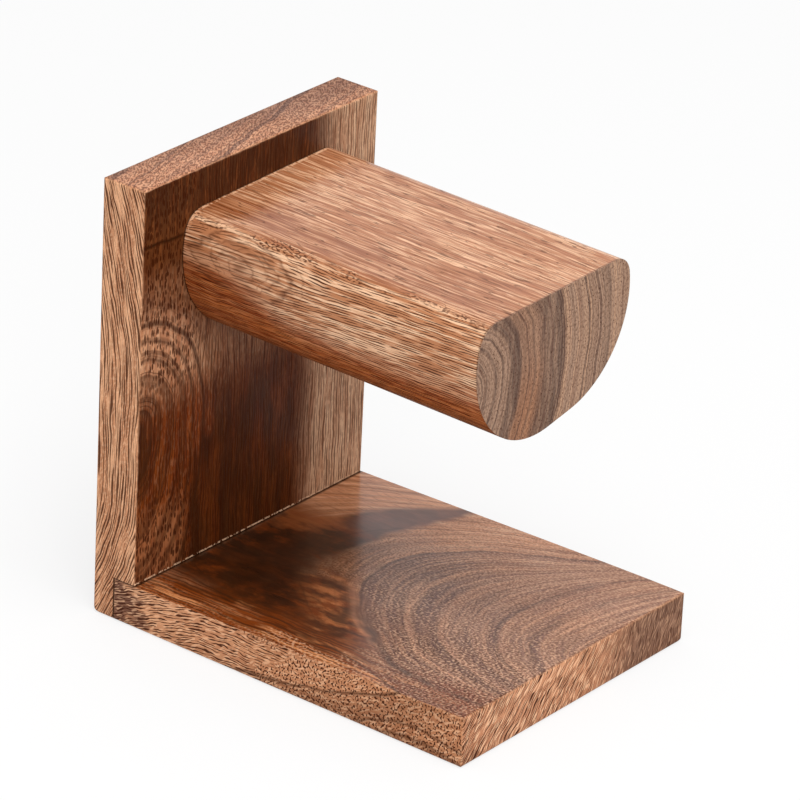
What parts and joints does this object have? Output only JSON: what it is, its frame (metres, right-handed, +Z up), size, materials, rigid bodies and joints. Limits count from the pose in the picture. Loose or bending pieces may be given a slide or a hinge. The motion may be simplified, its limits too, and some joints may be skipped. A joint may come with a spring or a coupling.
{
  "type": "watch stand",
  "caption": "Small wooden stand with a flat base board, an upright back board rebated over it, and a D-shaped bar that holds a watch or bracelet.",
  "frame": {"origin": "middle of the footprint, on the table", "axes": "+Z up, -Y towards the front edge that the bar points at, +X to the right seen from the front"},
  "size_m": [0.077, 0.101, 0.102],
  "materials": {
    "base_wood": "oiled hardwood board with figured grain, satin",
    "back_wood": "oiled hardwood board with dark upright grain, satin",
    "bar_wood": "oiled hardwood bar with straight grain, satin",
    "screw_steel": "zinc-plated steel, dull"
  },
  "bodies": {
    "root": {"base_plate": "base_wood", "back_panel": "back_wood", "watch_bar": "bar_wood", "bar_screw_left": "screw_steel", "bar_screw_right": "screw_steel", "base_screw_left": "screw_steel", "base_screw_right": "screw_steel"}
  },
  "joints": []
}
